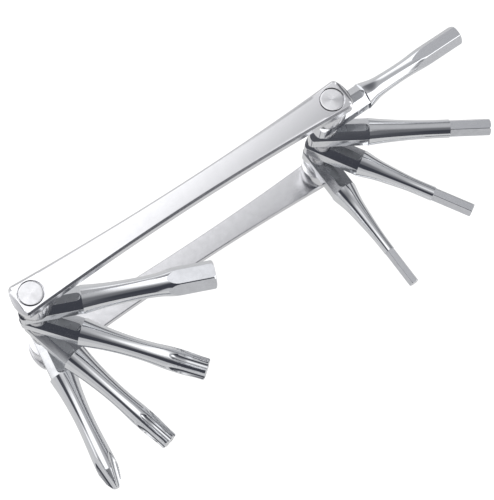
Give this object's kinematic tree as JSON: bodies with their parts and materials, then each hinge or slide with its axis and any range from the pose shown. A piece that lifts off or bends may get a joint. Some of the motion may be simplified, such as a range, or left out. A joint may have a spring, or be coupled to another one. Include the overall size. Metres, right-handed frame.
{
  "type": "folding bicycle multi-tool",
  "caption": "Folding pocket multi-tool for bicycles: fan of swing-out keys and drivers held between two waisted metal side plates with a pivot at each end.",
  "frame": {"origin": "centre of the rear plate's outer face, midway between the two pivot axes", "axes": "+Z along both pivot axes from the rear plate to the front plate, +X from the left pivot to the right pivot, +Y across the plates, away from the side on which the keys swing out"},
  "size_m": [0.1671, 0.0575, 0.0604],
  "materials": {
    "plate_metal": "bright polished, with a fine satin grain on the outer faces",
    "pivot_metal": "turned steel",
    "spacer_metal": "polished",
    "spring_metal": "plain spring steel",
    "washer_metal": "ground steel",
    "tool_metal": "polished chrome-plated tool steel"
  },
  "bodies": {
    "handle": {"front_plate": "plate_metal", "rear_plate": "plate_metal", "left_pivot_screw": "pivot_metal", "left_pivot_sleeve": "pivot_metal", "left_rear_spacer": "spacer_metal", "left_front_spacer": "spacer_metal", "left_disc_spring": "spring_metal", "left_thrust_washers": "washer_metal", "right_pivot_screw": "pivot_metal", "right_pivot_sleeve": "pivot_metal", "right_rear_spacer": "spacer_metal", "right_front_spacer": "spacer_metal", "right_disc_spring": "spring_metal", "right_thrust_washers": "washer_metal"},
    "hex_key_8mm": {"hex_key_8mm": "tool_metal"},
    "star_key_large": {"star_key_large": "tool_metal"},
    "star_key_medium": {"star_key_medium": "tool_metal"},
    "cross_key": {"cross_key": "tool_metal"},
    "hex_key_6mm": {"hex_key_6mm": "tool_metal"},
    "hex_key_5mm": {"hex_key_5mm": "tool_metal"},
    "hex_key_4mm": {"hex_key_4mm": "tool_metal"},
    "hex_key_3mm": {"hex_key_3mm": "tool_metal"}
  },
  "joints": [
    {"name": "hex_key_8mm_swing", "type": "hinge", "parent": "handle", "child": "hex_key_8mm", "pos_m": [-0.053, 0, 0.046], "axis": [0, 0, 1], "range_deg": [-166.6, 23.4]},
    {"name": "star_key_large_swing", "type": "hinge", "parent": "handle", "child": "star_key_large", "pos_m": [-0.053, 0, 0.0357], "axis": [0, 0, 1], "range_deg": [-137.7, 52.3]},
    {"name": "star_key_medium_swing", "type": "hinge", "parent": "handle", "child": "star_key_medium", "pos_m": [-0.053, 0, 0.0254], "axis": [0, 0, 1], "range_deg": [-113.2, 76.8]},
    {"name": "cross_key_swing", "type": "hinge", "parent": "handle", "child": "cross_key", "pos_m": [-0.053, 0, 0.0151], "axis": [0, 0, 1], "range_deg": [-91.4, 98.6]},
    {"name": "hex_key_6mm_swing", "type": "hinge", "parent": "handle", "child": "hex_key_6mm", "pos_m": [0.053, 0, 0.046], "axis": [0, 0, 1], "range_deg": [-180.6, 9.4]},
    {"name": "hex_key_5mm_swing", "type": "hinge", "parent": "handle", "child": "hex_key_5mm", "pos_m": [0.053, 0, 0.0357], "axis": [0, 0, 1], "range_deg": [-147.9, 42.1]},
    {"name": "hex_key_4mm_swing", "type": "hinge", "parent": "handle", "child": "hex_key_4mm", "pos_m": [0.053, 0, 0.0254], "axis": [0, 0, 1], "range_deg": [-120.4, 69.6]},
    {"name": "hex_key_3mm_swing", "type": "hinge", "parent": "handle", "child": "hex_key_3mm", "pos_m": [0.053, 0, 0.0151], "axis": [0, 0, 1], "range_deg": [-89.6, 100.4]}
  ]
}
